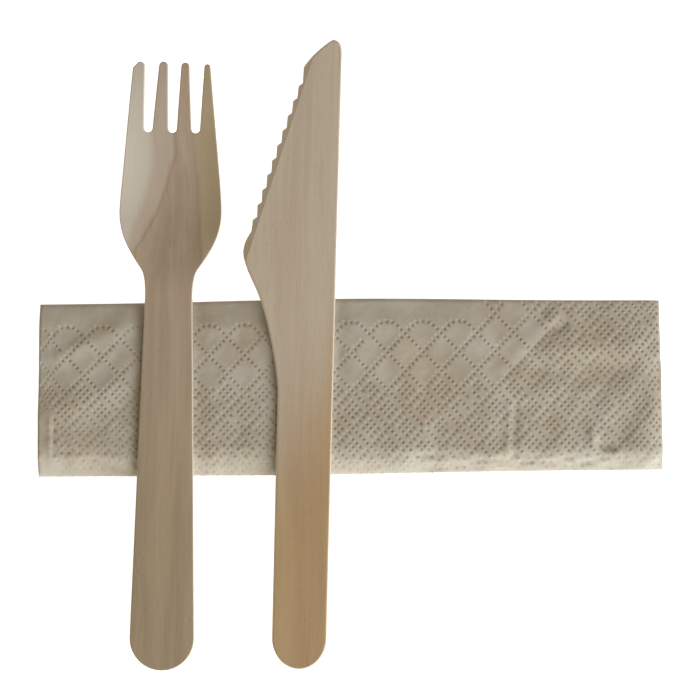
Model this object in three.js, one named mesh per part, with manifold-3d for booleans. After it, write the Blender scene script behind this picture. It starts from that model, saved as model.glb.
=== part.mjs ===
// Wooden cutlery pack: a birch fork and a birch knife that lie across a folded kraft paper napkin.
// Millimetres. +X runs along the napkin, +Y towards the tines and the blade's tip, +Z up.

import * as THREE from 'three';
import { mergeVertices } from 'three/addons/utils/BufferGeometryUtils.js';
import Module from 'manifold-3d';

const { degToRad, smoothstep } = THREE.MathUtils;
const wasm = await Module();
wasm.setup();

// Air between a piece and what it rests on, so that no two solids share a face.
const GAP = 0.3;

// One square sheet of two-ply tissue, folded in half along X and then three times along Y.
const NAPKIN = {
  sheet: 330,
  leaf: 0.15, // one two-ply leaf
  slit: 0.1, // air between the two leaves that the first fold lays together
  pitch: 0.6, // height from one pair of leaves to the next
  // The stack's height of each eighth of the folded strip, in order along the strip.
  order: [8, 1, 4, 5, 6, 3, 2, 7],
  setBack: 4.1, // how far the far folds stay behind the strip's free ends
  softness: 0.6, // how much further than a half circle the widest fold bulges
  foldSteps: 8,
  at: [0, -6.72],
  turn: 0.4,
};

// The fork's own frame: x across, y from the handle's end to the tips. Each pair is [x, y].
const FORK = {
  thickness: 1.7,
  endRadius: 8.5,
  neck: [6.2, 98],
  shoulder: [7.3, 105.1],
  widest: [13.45, 120.4],
  cheek: [12.9, 128.6],
  // The tines' rounded ends and the slots between them, from +x to -x: the middle and its radius.
  tines: [
    { x: 9.1, y: 158.3, radius: 0.85 },
    { x: 3.3, y: 158.4, radius: 1.1 },
    { x: -2.4, y: 158.45, radius: 1.2 },
    { x: -8.45, y: 158.3, radius: 1.2 },
  ],
  slots: [
    { x: 6.2, y: 142.3, radius: 1.12 },
    { x: 0.1, y: 142.3, radius: 1.12 },
    { x: -6.25, y: 142.3, radius: 1.12 },
  ],
  cutCorner: [-10.4, 157.8], // the last tine's outer corner is cut off here
  bowl: { start: 98, deepest: 122, depth: 2.6 },
  tipRise: 4.2,
  flankRise: 2.2,
  at: [-49.72, -82.56],
  turn: -1.15,
};

// The knife's own frame: x across with the spine on +x, y from the handle's end to the tip.
const KNIFE = {
  thickness: 1.7,
  spine: 7.05,
  back: -7.4,
  endHeight: 8.2,
  hollow: 0.12, // how far the spine's middle stands back
  teeth: 10,
  firstNotch: [-3.1, 153.8],
  lastNotch: [-14.2, 118.4],
  toothStep: [-1.1, -0.8],
  toothBow: 0.28, // how far the teeth's line bulges
  bevel: { heel: [-16.8, 106.7], tip: [-1.2, 158.4], angle: 25 },
  at: [-13.5, -82.2],
  turn: -1.5,
};

// ---- Booleans -------------------------------------------------------------------------------

function toSolid(geometry) {
  const bare = new THREE.BufferGeometry();
  bare.setAttribute('position', geometry.getAttribute('position'));
  bare.setIndex(geometry.index);
  const welded = mergeVertices(bare, 1e-4);
  return new wasm.Manifold(new wasm.Mesh({
    numProp: 3,
    vertProperties: new Float32Array(welded.getAttribute('position').array),
    triVerts: new Uint32Array(welded.index.array),
  }));
}

function toGeometry(solid) {
  const { vertProperties, triVerts } = solid.getMesh();
  const geometry = new THREE.BufferGeometry();
  geometry.setAttribute('position', new THREE.BufferAttribute(vertProperties, 3));
  geometry.setIndex(new THREE.BufferAttribute(triVerts, 1));
  return geometry;
}

function extrude(shape, depth, curveSegments = 8) {
  return new THREE.ExtrudeGeometry(shape, { depth, curveSegments, bevelEnabled: false });
}

// ---- Napkin ---------------------------------------------------------------------------------

const heightOf = (place) => (place - 1) * NAPKIN.pitch + NAPKIN.leaf + NAPKIN.slit / 2;
const napkinThickness = heightOf(NAPKIN.order.length) + heightOf(1);

// A fold is half of an ellipse. The wider it is, the softer it is, and the further it bulges.
function bulge(radius) {
  return 1 + NAPKIN.softness * Math.abs(radius) / (napkinThickness / 2);
}

// Flat length of an eighth that has a free end, once the rounded folds have taken their share.
function freeEighth() {
  const { order, sheet, setBack } = NAPKIN;
  let rounded = 0;
  for (let i = 1; i < order.length; i += 1) {
    const radius = Math.abs(heightOf(order[i]) - heightOf(order[i - 1])) / 2;
    rounded += Math.PI * radius * Math.sqrt((1 + bulge(radius) ** 2) / 2);
  }
  return (sheet - rounded + (order.length - 2) * setBack) / order.length;
}

// The middle line of the folded strip, x across the stack and y up. Each point carries the unit
// normal on the left of the way along the strip.
function stripLine(overrun) {
  const { order, setBack, foldSteps } = NAPKIN;
  const far = freeEighth() / 2;
  const line = [];
  const add = (x, y, nx, ny) => {
    const normal = new THREE.Vector2(nx, ny).normalize();
    line.push({ at: new THREE.Vector2(x, y), normal });
  };
  order.forEach((place, i) => {
    const run = i % 2 ? 1 : -1;
    const y = heightOf(place);
    const isFirst = i === 0;
    const isLast = i === order.length - 1;
    const farEnd = isFirst || isLast ? far + overrun : far - setBack;
    const [from, to] = run < 0 ? [farEnd, -far] : [-far, farEnd];
    add(from, y, 0, run);
    add(to, y, 0, run);
    if (isLast) return;
    const radius = (heightOf(order[i + 1]) - y) / 2;
    const bend = run * Math.sign(radius);
    const long = bulge(radius);
    for (let k = 1; k < foldSteps; k += 1) {
      const angle = Math.PI * k / foldSteps;
      const out = run * Math.sin(angle);
      const up = -Math.sign(radius) * Math.cos(angle);
      const reach = Math.abs(radius);
      add(to + out * long * reach, y + radius + up * reach, -bend * out, -bend * up * long);
    }
  });
  return line;
}

function stripSection(thickness, overrun = 0) {
  const line = stripLine(overrun);
  const side = (half) => line.map((p) => p.at.clone().addScaledVector(p.normal, half));
  return new THREE.Shape([...side(thickness / 2), ...side(-thickness / 2).reverse()]);
}

// The pairs of leaves are one strip, slit open along its middle from the -X end as far as the
// first fold, which closes it at +X.
function napkinGeometry() {
  const length = NAPKIN.sheet / 2;
  const pair = 2 * NAPKIN.leaf + NAPKIN.slit;
  const overrun = 1;
  const strip = extrude(stripSection(pair), length);
  const slit = extrude(stripSection(NAPKIN.slit, overrun), length - NAPKIN.leaf + overrun);
  slit.translate(0, 0, -overrun);
  const geometry = toGeometry(toSolid(strip).subtract(toSolid(slit)));
  geometry.translate(0, 0, -length / 2);
  const alongX = new THREE.Matrix4().makeBasis(
    new THREE.Vector3(0, 1, 0),
    new THREE.Vector3(0, 0, 1),
    new THREE.Vector3(1, 0, 0),
  );
  return geometry.applyMatrix4(alongX);
}

// ---- Fork -----------------------------------------------------------------------------------

function forkOutline() {
  const { endRadius, neck, shoulder, widest, cheek, tines, slots, cutCorner } = FORK;
  const shape = new THREE.Shape();
  shape.absarc(0, endRadius, endRadius, Math.PI, 2 * Math.PI);
  shape.lineTo(...neck);
  shape.quadraticCurveTo(neck[0], 103.1, ...shoulder);
  shape.bezierCurveTo(10.75, 110, widest[0], 114.2, ...widest);
  shape.quadraticCurveTo(widest[0], 122.4, ...cheek);
  tines.forEach(({ x, y, radius }, i) => {
    const isCut = i === tines.length - 1;
    shape.absarc(x, y, radius, 0, isCut ? 2 * Math.PI / 3 : Math.PI);
    const slot = slots[i];
    if (slot) shape.absarc(slot.x, slot.y, slot.radius, 2 * Math.PI, Math.PI, true);
  });
  shape.lineTo(...cutCorner);
  shape.lineTo(-cheek[0], cheek[1]);
  shape.quadraticCurveTo(-widest[0], 122.4, -widest[0], widest[1]);
  shape.bezierCurveTo(-widest[0], 114.2, -10.75, 110, -shoulder[0], shoulder[1]);
  shape.quadraticCurveTo(-neck[0], 103.1, -neck[0], neck[1]);
  shape.closePath();
  return shape;
}

const forkLength = Math.max(...FORK.tines.map(({ y, radius }) => y + radius));

// Height of the pressed blank above its flat handle.
function forkRise(x, y) {
  const { bowl, tipRise, flankRise, widest } = FORK;
  const dip = -bowl.depth * smoothstep(y, bowl.start, bowl.deepest);
  const rise = tipRise * smoothstep(y, bowl.deepest, forkLength);
  const cupped = smoothstep(y, bowl.start, bowl.deepest - 6) - smoothstep(y, bowl.deepest, 190);
  return dip + rise + flankRise * cupped * (x / widest[0]) ** 2;
}

// A slab as thick as the wood that follows the pressed form, larger than the outline.
function forkSlab() {
  const { thickness, bowl } = FORK;
  const width = 30;
  const step = 3;
  const rows = Math.ceil((forkLength - bowl.start) / step) + 1;
  const slab = new THREE.BoxGeometry(width, rows + 1, thickness, 10, rows + 1, 1);
  const position = slab.getAttribute('position');
  for (let i = 0; i < position.count; i += 1) {
    const row = Math.round(position.getY(i) + (rows + 1) / 2);
    const y = row === 0 ? -step : bowl.start + (row - 1) * step;
    position.setY(i, y);
    position.setZ(i, position.getZ(i) + thickness / 2 + forkRise(position.getX(i), y));
  }
  return slab;
}

function forkGeometry() {
  const depth = 30;
  const blank = extrude(forkOutline(), depth, 5).translate(0, 0, -depth / 2);
  return toGeometry(toSolid(blank).intersect(toSolid(forkSlab())));
}

// ---- Knife ----------------------------------------------------------------------------------

function knifeOutline() {
  const { spine, back, endHeight, hollow, teeth, firstNotch, lastNotch } = KNIFE;
  const { toothStep, toothBow } = KNIFE;
  const middle = (spine + back) / 2;
  const half = (spine - back) / 2;
  const shape = new THREE.Shape();
  shape.absellipse(middle, endHeight, half, endHeight, Math.PI, 2 * Math.PI);
  shape.quadraticCurveTo(spine - 2 * hollow, 85, spine, 161.7);
  shape.quadraticCurveTo(7, 165.5, 4.5, 165.4);
  shape.bezierCurveTo(3.1, 164.9, -2.7, 159.6, -3, 157.8);
  for (let k = 0; k < teeth; k += 1) {
    const share = k / (teeth - 1);
    const bow = 4 * toothBow * share * (1 - share);
    const x = THREE.MathUtils.lerp(firstNotch[0], lastNotch[0], share) - bow;
    const y = THREE.MathUtils.lerp(firstNotch[1], lastNotch[1], share);
    shape.lineTo(x, y);
    shape.lineTo(x + toothStep[0], y + toothStep[1]);
  }
  shape.lineTo(-15.6, 114.5);
  shape.bezierCurveTo(-16.6, 113.2, -17.6, 111.2, -17.6, 109.2);
  shape.bezierCurveTo(-17.6, 106.3, -15.2, 102, -13.7, 98.9);
  shape.bezierCurveTo(-11.6, 95, -7.9, 80, -7.6, 72);
  shape.closePath();
  return shape;
}

// The wood above the ground bevel: a box laid on the bevel's plane along its inner line.
function bevelCutter() {
  const { heel, tip, angle } = KNIFE.bevel;
  const from = new THREE.Vector2(...heel);
  const along = new THREE.Vector2(...tip).sub(from);
  const width = 8;
  const height = 4;
  const cutter = new THREE.BoxGeometry(width, along.length() + 2 * width, height);
  cutter.translate(-width / 2, along.length() / 2, height / 2);
  cutter.rotateY(-degToRad(angle));
  cutter.rotateZ(along.angle() - Math.PI / 2);
  cutter.translate(from.x, from.y, KNIFE.thickness);
  return cutter;
}

function knifeGeometry() {
  const blank = toSolid(extrude(knifeOutline(), KNIFE.thickness));
  return toGeometry(blank.subtract(toSolid(bevelCutter())));
}

// ---- Pack -----------------------------------------------------------------------------------

const BIRCH = { color: 0xcdb793, roughness: 0.75, metalness: 0 };
const KRAFT_TISSUE = { color: 0xb9aa92, roughness: 0.95, metalness: 0 };

function piece(name, geometry, finish, { at, turn }, height) {
  geometry.computeVertexNormals();
  const mesh = new THREE.Mesh(geometry, new THREE.MeshStandardMaterial(finish));
  mesh.name = name;
  mesh.position.set(at[0], at[1], height);
  mesh.rotation.z = degToRad(turn);
  return mesh;
}

const onNapkin = napkinThickness + GAP;
const pack = new THREE.Group();
pack.add(piece('napkin', napkinGeometry(), KRAFT_TISSUE, NAPKIN, 0));
pack.add(piece('fork', forkGeometry(), BIRCH, FORK, onNapkin));
pack.add(piece('knife', knifeGeometry(), BIRCH, KNIFE, onNapkin));

// The row's origin is the middle of the base of the whole pack's box.
pack.updateMatrixWorld(true);
const middle = new THREE.Box3().setFromObject(pack, true).getCenter(new THREE.Vector3());
pack.position.set(-middle.x, -middle.y, 0);

export default pack;
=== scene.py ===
"""Looks of a wooden cutlery pack: a birch fork and a birch knife on a folded kraft paper napkin.

Lengths are in millimetres inside the classes, as a cutlery maker states them, and become metres
when a piece is laid in the pack. +X runs along the napkin, +Y towards the tines, +Z up.
"""

from __future__ import annotations

import logging
import math
import random
from bisect import bisect_right
from dataclasses import dataclass
from enum import Enum

import bmesh
import bpy
from mathutils import Matrix, Vector, noise
from mathutils.bvhtree import BVHTree
from mathutils.kdtree import KDTree

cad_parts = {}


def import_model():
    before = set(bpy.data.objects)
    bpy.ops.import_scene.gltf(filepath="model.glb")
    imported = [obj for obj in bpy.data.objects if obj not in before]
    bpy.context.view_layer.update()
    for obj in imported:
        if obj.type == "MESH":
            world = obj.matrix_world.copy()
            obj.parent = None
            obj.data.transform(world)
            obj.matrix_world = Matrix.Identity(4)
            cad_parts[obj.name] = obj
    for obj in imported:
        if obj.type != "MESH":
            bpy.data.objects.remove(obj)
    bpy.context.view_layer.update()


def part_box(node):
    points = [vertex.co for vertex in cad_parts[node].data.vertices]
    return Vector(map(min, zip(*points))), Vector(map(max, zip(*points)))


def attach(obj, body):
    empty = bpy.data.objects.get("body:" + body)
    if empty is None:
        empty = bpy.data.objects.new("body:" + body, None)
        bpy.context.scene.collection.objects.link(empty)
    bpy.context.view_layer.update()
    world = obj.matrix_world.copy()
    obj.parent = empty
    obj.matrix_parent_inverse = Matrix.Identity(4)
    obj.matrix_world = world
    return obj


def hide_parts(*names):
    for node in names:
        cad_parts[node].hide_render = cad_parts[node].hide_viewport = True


log = logging.getLogger("cutlery_pack")

MM = 0.001

Point = tuple[float, float]
Triple = tuple[float, float, float]


# ---- Small sums ------------------------------------------------------------------------------


def lerp(a: float, b: float, share: float) -> float:
    """Value that lies the given share of the way from a to b."""
    return a + (b - a) * share


def smoothstep(value: float, low: float, high: float) -> float:
    """Soft step from 0 at low to 1 at high."""
    share = min(max((value - low) / (high - low), 0.0), 1.0)
    return share * share * (3.0 - 2.0 * share)


def bezier(controls: list[Point], share: float) -> Point:
    """Point of a Bezier curve of any degree.

    Args:
        controls: The curve's control points.
        share: How far along the curve, from 0 to 1.

    Returns:
        The x and y of the point.
    """
    level = controls
    while len(level) > 1:
        level = [
            (lerp(a[0], b[0], share), lerp(a[1], b[1], share))
            for a, b in zip(level, level[1:])
        ]
    return level[0]


def linear(hex_colour: str) -> tuple[float, float, float, float]:
    """Linear RGBA of an sRGB hex colour such as "c9b08a"."""
    channels = [int(hex_colour[i : i + 2], 16) / 255 for i in (0, 2, 4)]
    lit = [c / 12.92 if c <= 0.04045 else ((c + 0.055) / 1.055) ** 2.4 for c in channels]
    return (*lit, 1.0)


# ---- Finishes --------------------------------------------------------------------------------


def output_of(source: bpy.types.Node | bpy.types.NodeSocket) -> bpy.types.NodeSocket:
    """The first output in use of a node, or the output itself."""
    if isinstance(source, bpy.types.Node):
        return next(output for output in source.outputs if output.enabled)
    return source


def add_node(
    material: bpy.types.Material,
    kind: str,
    inputs: dict[str | int, object] | None = None,
    **settings: object,
) -> bpy.types.Node:
    """Adds a shader node, sets it up and links what feeds it.

    Args:
        material: The material that gets the node.
        kind: The node's type without "ShaderNode", such as "Math".
        inputs: For each input, by name or place, a value, or the output or node that feeds it.
        **settings: Properties of the node itself.

    Returns:
        The new node.
    """
    tree = material.node_tree
    node = tree.nodes.new("ShaderNode" + kind)
    for name, value in settings.items():
        setattr(node, name, value)
    for key, value in (inputs or {}).items():
        if isinstance(value, (bpy.types.Node, bpy.types.NodeSocket)):
            tree.links.new(output_of(value), node.inputs[key])
        else:
            node.inputs[key].default_value = value
    return node


@dataclass(frozen=True)
class Mark:
    """One kind of mark in a surface, such as streaks, pores or fibres.

    Attributes:
        size: How wide and how long one mark is, in millimetres. Its length lies along Y.
        colour: The mark's sRGB colour.
        share: How much of the colour shows where the mark is fullest.
        start: Noise value, from 0 to 1, where the mark begins to show.
        full: Noise value where the mark is fullest.
        detail: Octaves of finer noise.
        angle: Degrees that the mark's length is turned from Y.
        relief: How far the mark stands proud in the bump, from -1 to 1.
    """

    size: Point
    colour: str
    share: float
    start: float
    full: float
    detail: float
    angle: float = 0.0
    relief: float = 0.0


@dataclass(frozen=True)
class Finish:
    """What every finish of the pack has: a ground colour, marks over it and a matt surface.

    Attributes:
        name: The material's name.
        ground: The sRGB colour below the marks.
        marks: The marks, lowest first.
        roughness: The surface's roughness.
        ior: Its index of refraction.
        relief_mm: How high the bump's full relief is.
        seed: Where in the noise its marks start, so that two pieces differ.
    """

    name: str
    ground: str
    marks: tuple[Mark, ...]
    roughness: float
    ior: float
    relief_mm: float
    seed: float

    def start(self) -> tuple[bpy.types.Material, bpy.types.Node]:
        """Starts the material.

        Returns:
            The material and its Principled BSDF node, with the surface's constants set.
        """
        material = bpy.data.materials.new(self.name)
        material.use_nodes = True
        shader = material.node_tree.nodes["Principled BSDF"]
        shader.inputs["Roughness"].default_value = self.roughness
        shader.inputs["IOR"].default_value = self.ior
        return material, shader

    def lay_marks(
        self, material: bpy.types.Material, place: bpy.types.Node
    ) -> tuple[bpy.types.Node, bpy.types.Node]:
        """Lays every mark over the ground colour, in order.

        Args:
            material: The material that gets the nodes.
            place: Gives the position on the piece, in millimetres.

        Returns:
            The nodes that give the colour, and the height that feeds the bump.
        """
        colour: object = linear(self.ground)
        height: object = 0.0
        for number, mark in enumerate(self.marks):
            wide, long = mark.size
            turned = add_node(
                material,
                "Mapping",
                {"Vector": place, "Rotation": (0.0, 0.0, math.radians(-mark.angle))},
            )
            # Each mark has its own part of the noise.
            scaled = add_node(
                material,
                "Mapping",
                {"Vector": turned, "Scale": (1 / wide, 1 / long, 1 / wide),
                 "Location": (7.3 * number + self.seed, 3.1 * number, self.seed)},
            )
            speckle = add_node(
                material,
                "TexNoise",
                {"Vector": scaled, "Scale": 1.0, "Detail": mark.detail, "Roughness": 0.55},
            )
            shown = add_node(
                material,
                "MapRange",
                {"Value": speckle, "From Min": mark.start, "From Max": mark.full,
                 "To Max": mark.share},
                interpolation_type="SMOOTHSTEP",
            )
            colour = add_node(
                material, "Mix", {0: shown, 6: colour, 7: linear(mark.colour)}, data_type="RGBA"
            )
            if mark.relief:
                height = add_node(
                    material,
                    "Math",
                    {0: speckle, 1: mark.relief, 2: height},
                    operation="MULTIPLY_ADD",
                )
        return colour, height

    def join(
        self,
        material: bpy.types.Material,
        shader: bpy.types.Node,
        colour: bpy.types.Node,
        height: bpy.types.Node,
    ) -> bpy.types.Material:
        """Feeds the colour and the relief into the shader.

        Args:
            material: The material.
            shader: Its Principled BSDF node.
            colour: Gives the finished colour.
            height: Gives the height that feeds the bump.

        Returns:
            The finished material.
        """
        bump = add_node(
            material, "Bump", {"Height": height, "Strength": 1.0, "Distance": self.relief_mm * MM}
        )
        links = material.node_tree.links
        links.new(output_of(colour), shader.inputs["Base Color"])
        links.new(output_of(bump), shader.inputs["Normal"])
        return material


class Side(Enum):
    """The side of its edge on which a growth layer lies, seen from the end of the handle."""

    LEFT = -1.0
    RIGHT = 1.0


@dataclass(frozen=True)
class GrowthLayerAndPaintedSheen:
    """A layer of the log that covers one side of a blank. On the fork's head the pale layers are
    partly a painted highlight, the lamp's sheen on the left flank that faces it.

    Attributes:
        upper: A point of its edge, on the piece.
        lower: A point of its edge that is nearer the end of the handle.
        side: The side of the edge that it covers.
        colour: Its colour, as sRGB hex.
        share: How strongly it shows, from 0 to 1.
        softness: Width over which it fades in.
        ring_share: How strongly the dark ring at its edge shows.
    """

    upper: Point
    lower: Point
    side: Side
    colour: str
    share: float
    softness: float
    ring_share: float = 0.0


@dataclass(frozen=True)
class PressedBirch(Finish):
    """Rotary-cut birch veneer, hot pressed, die cut and sanded, with no varnish.

    Birch is pale and close grained. The eye sees long soft streaks, fine fibres and short dark
    pores along the grain, growth layers that the press has left at a slant, a faint sheen where
    the hot press has closed the surface, and a paler sanded rim. On the fork's head the pale
    layers of the left flank are partly a painted highlight, the lamp's sheen, and the rim's
    paleness is partly a painted highlight where it catches the lamp.

    Attributes:
        warm: The tint of the heartwood side.
        warm_from: Where along the piece the tint starts.
        warm_to: Where along the piece it is full.
        warm_slant: How far the tint's start moves along the piece for each step across it.
        sawn_and_highlight: The colour of a sanded rim, partly its paler unpressed wood and partly
            a painted highlight where the rim catches the lamp.
        layers: The growth layers, lowest first. The fork's pale head layers are partly painted
            sheen.
        ring: The colour of the dark ring at a layer's edge.
        ring_width: How far the ring reaches from the edge.
        drift_mm: How far the grain wanders sideways.
    """

    warm: str
    warm_from: float
    warm_to: float
    warm_slant: float = 0.0
    sawn_and_highlight: str = "cbbfa8"
    layers: tuple[GrowthLayerAndPaintedSheen, ...] = ()
    ring: str = "75593f"
    ring_width: float = 0.55
    drift_mm: float = 6.0

    def lay_layers_and_sheen(
        self, material: bpy.types.Material, grain: bpy.types.Node, colour: bpy.types.Node
    ) -> bpy.types.Node:
        """Lays the growth layers over the wood, each with a soft dark ring along its edge. On the
        fork's head the pale ones are partly a painted highlight.

        Args:
            material: The material that gets the nodes.
            grain: Gives the position on the piece along its wandering grain, in millimetres.
            colour: Gives the wood's colour so far.

        Returns:
            The node that gives the colour.
        """
        place = add_node(material, "SeparateXYZ", {0: grain})
        for layer in self.layers:
            (upper_x, upper_y), (lower_x, lower_y) = layer.upper, layer.lower
            edge = add_node(
                material,
                "MapRange",
                {"Value": place.outputs["Y"], "From Min": upper_y, "From Max": lower_y,
                 "To Min": upper_x + self.drift_mm / 2, "To Max": lower_x + self.drift_mm / 2},
            )
            past = add_node(
                material, "Math", {0: place.outputs["X"], 1: edge}, operation="SUBTRACT"
            )
            inside = add_node(
                material,
                "MapRange",
                {"Value": past, "From Min": 0.0, "From Max": layer.softness * layer.side.value,
                 "To Max": layer.share},
                interpolation_type="SMOOTHSTEP",
            )
            laid = add_node(
                material, "Mix", {0: inside, 6: colour, 7: linear(layer.colour)}, data_type="RGBA"
            )
            apart = add_node(material, "Math", {0: past}, operation="ABSOLUTE")
            near = add_node(
                material,
                "MapRange",
                {"Value": apart, "From Min": 0.0, "From Max": self.ring_width,
                 "To Min": layer.ring_share, "To Max": 0.0},
                interpolation_type="SMOOTHSTEP",
            )
            colour = add_node(
                material, "Mix", {0: near, 6: laid, 7: linear(self.ring)}, data_type="RGBA"
            )
        return colour

    def material(self, origin: Vector, turn: float) -> bpy.types.Material:
        """Makes the wood for one piece, with its grain along the piece.

        Args:
            origin: Where the end of the piece's handle is, in metres.
            turn: How far the piece is turned about Z, in degrees.

        Returns:
            The material.
        """
        material, shader = self.start()
        back = Matrix.Rotation(math.radians(-turn), 3, "Z")
        place = add_node(
            material,
            "Mapping",
            {"Vector": add_node(material, "TexCoord").outputs["Object"],
             "Location": back @ -origin / MM,
             "Rotation": (0.0, 0.0, math.radians(-turn)),
             "Scale": (1 / MM, 1 / MM, 1 / MM)},
        )
        # The grain wanders over some 20 mm across the piece and 55 mm along it.
        slow = add_node(
            material,
            "Mapping",
            {"Vector": place, "Location": (self.seed, 0.0, 0.0), "Scale": (0.05, 0.018, 0.05)},
        )
        drift = add_node(material, "TexNoise", {"Vector": slow, "Scale": 1.0, "Detail": 1.0})
        aside = add_node(material, "Math", {0: drift, 1: self.drift_mm}, operation="MULTIPLY")
        sideways = add_node(material, "CombineXYZ", {"X": aside})
        grain = add_node(material, "VectorMath", {0: place, 1: sideways}, operation="ADD")
        colour, height = self.lay_marks(material, grain)
        # The heartwood side of the log is warmer.
        along = add_node(material, "SeparateXYZ", {0: place})
        slanted = add_node(
            material,
            "Math",
            {0: along.outputs["X"], 1: -self.warm_slant, 2: along.outputs["Y"]},
            operation="MULTIPLY_ADD",
        )
        warmth = add_node(
            material,
            "MapRange",
            {"Value": slanted, "From Min": self.warm_from, "From Max": self.warm_to},
            interpolation_type="SMOOTHERSTEP",
        )
        warmed = add_node(
            material,
            "Mix",
            {0: warmth, 6: colour, 7: linear(self.warm)},
            data_type="RGBA",
            blend_type="MULTIPLY",
        )
        layered = self.lay_layers_and_sheen(material, grain, warmed)
        # The sawn and sanded rim is paler, partly because it was not pressed and partly as a
        # painted highlight where the rounded rim catches the lamp. It starts where the rim turns
        # some 18 degrees away from the broad face.
        surface = add_node(material, "NewGeometry")
        facing = add_node(material, "SeparateXYZ", {0: surface.outputs["Normal"]})
        sawn_and_highlight = add_node(
            material,
            "MapRange",
            {"Value": facing.outputs["Z"], "From Min": 0.95, "From Max": 0.7, "To Max": 0.8},
        )
        edged = add_node(
            material, "Mix", {0: sawn_and_highlight, 6: layered, 7: linear(self.sawn_and_highlight)}, data_type="RGBA"
        )
        return self.join(material, shader, edged, height)


@dataclass(frozen=True)
class KraftTissue(Finish):
    """Unbleached two-ply kraft tissue, creped, embossed with dots and folded.

    The eye sees a soft matt brown with cloudy patches, crossed fibres and darker specks, slightly
    darker pressed dots, partly painted shade in their hollows, a pale fuzz at grazing angles, and
    a folded edge painted paler as a highlight where its roll faces the lamp.

    Attributes:
        pressed: The tint of a pressed dot's floor, partly the pressed tissue's own and partly
            painted shade in the hollow.
        fuzz: How strong the fuzz's sheen is.
        fuzz_roughness: How rough that sheen is.
        roll_highlight: The colour of the painted highlight along the folded edge, where its roll
            faces the lamp.
        roll_highlight_share: How strongly it shows.
        roll_highlight_from: Where across the pack it starts, in millimetres.
        roll_highlight_to: Where it is full.
    """

    # Partly painted shade in the dots' hollows.
    pressed: str = "efeae0"
    fuzz: float = 0.25
    fuzz_roughness: float = 0.6
    # A painted highlight on the roll of the folded edge, which faces the lamp.
    roll_highlight: str = "c0b7a2"
    roll_highlight_share: float = 0.42
    roll_highlight_from: float = -24.9
    roll_highlight_to: float = -27.6

    def material(self) -> bpy.types.Material:
        """Makes the tissue, which is darker where the "pressed" attribute says so, partly as
        painted shade in the dots' hollows.

        Returns:
            The material.
        """
        material, shader = self.start()
        place = add_node(
            material,
            "Mapping",
            {"Vector": add_node(material, "TexCoord").outputs["Object"],
             "Scale": (1 / MM, 1 / MM, 1 / MM)},
        )
        colour, height = self.lay_marks(material, place)
        # The dots' floors are darkened partly as painted shade in their hollows.
        dots = add_node(material, "Attribute", attribute_name="pressed")
        darker = add_node(
            material,
            "Mix",
            {0: dots.outputs["Fac"], 6: colour, 7: linear(self.pressed)},
            data_type="RGBA",
            blend_type="MULTIPLY",
        )
        # Along the folded edge the tissue is painted paler, as a painted highlight on the roll
        # that faces the lamp.
        across = add_node(material, "SeparateXYZ", {0: place})
        roll_lit = add_node(
            material,
            "MapRange",
            {"Value": across.outputs["Y"], "From Min": self.roll_highlight_from,
             "From Max": self.roll_highlight_to, "To Max": self.roll_highlight_share},
            interpolation_type="SMOOTHSTEP",
        )
        paler = add_node(
            material, "Mix", {0: roll_lit, 6: darker, 7: linear(self.roll_highlight)}, data_type="RGBA"
        )
        shader.inputs["Sheen Weight"].default_value = self.fuzz
        shader.inputs["Sheen Roughness"].default_value = self.fuzz_roughness
        return self.join(material, shader, paler, height)


FORK_BIRCH = PressedBirch(
    name="birch_pressed_fork",
    ground="9d8970",
    marks=(
        Mark((7.0, 70.0), "8f7c65", 0.75, 0.40, 0.62, 2.0),
        Mark((2.2, 60.0), "a8977f", 0.30, 0.45, 0.68, 3.0),
        Mark((1.1, 38.0), "89755c", 0.40, 0.50, 0.72, 4.0, relief=0.3),
        Mark((0.35, 9.0), "846d55", 0.20, 0.48, 0.75, 3.0, relief=0.5),
        Mark((0.30, 2.2), "6f5642", 0.40, 0.66, 0.78, 1.0, relief=-0.8),
    ),
    roughness=0.45,
    ior=1.5,
    relief_mm=0.03,
    seed=4.7,
    warm="ededdf",
    warm_from=100.0,
    warm_to=20.0,
    layers=(
        # The two pale layers on the head's left flank are partly wood tone and partly a painted
        # highlight: the lamp's sheen on the flank that faces it.
        GrowthLayerAndPaintedSheen((1.8, 136.0), (-8.9, 110.0), Side.LEFT, "a89a88", 0.50, 1.5, 0.30),
        GrowthLayerAndPaintedSheen((-4.6, 134.0), (-9.6, 112.0), Side.LEFT, "b1a996", 0.62, 2.8),
        GrowthLayerAndPaintedSheen((5.8, 142.0), (8.8, 96.0), Side.RIGHT, "a89772", 0.45, 1.6, 0.14),
    ),
)

KNIFE_BIRCH = PressedBirch(
    name="birch_pressed_knife",
    ground="ab9c84",
    marks=(
        Mark((8.0, 90.0), "a3917a", 0.60, 0.42, 0.62, 2.0),
        Mark((2.0, 60.0), "b3a68f", 0.35, 0.45, 0.68, 3.0),
        Mark((0.9, 30.0), "9b866b", 0.30, 0.50, 0.72, 4.0, relief=0.3),
        Mark((0.35, 8.0), "957f62", 0.14, 0.48, 0.75, 3.0, relief=0.5),
        Mark((0.30, 1.8), "806647", 0.35, 0.66, 0.78, 1.0, relief=-0.8),
    ),
    roughness=0.55,
    ior=1.5,
    relief_mm=0.03,
    seed=21.9,
    warm="e2caa4",
    warm_from=102.0,
    warm_to=30.0,
    warm_slant=1.6,
    layers=(
        GrowthLayerAndPaintedSheen((-14.0, 90.0), (-0.5, 35.0), Side.LEFT, "a68f62", 0.30, 4.0),
        GrowthLayerAndPaintedSheen((6.6, 120.0), (5.0, 60.0), Side.RIGHT, "b08a5c", 0.25, 1.4),
    ),
)

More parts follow.
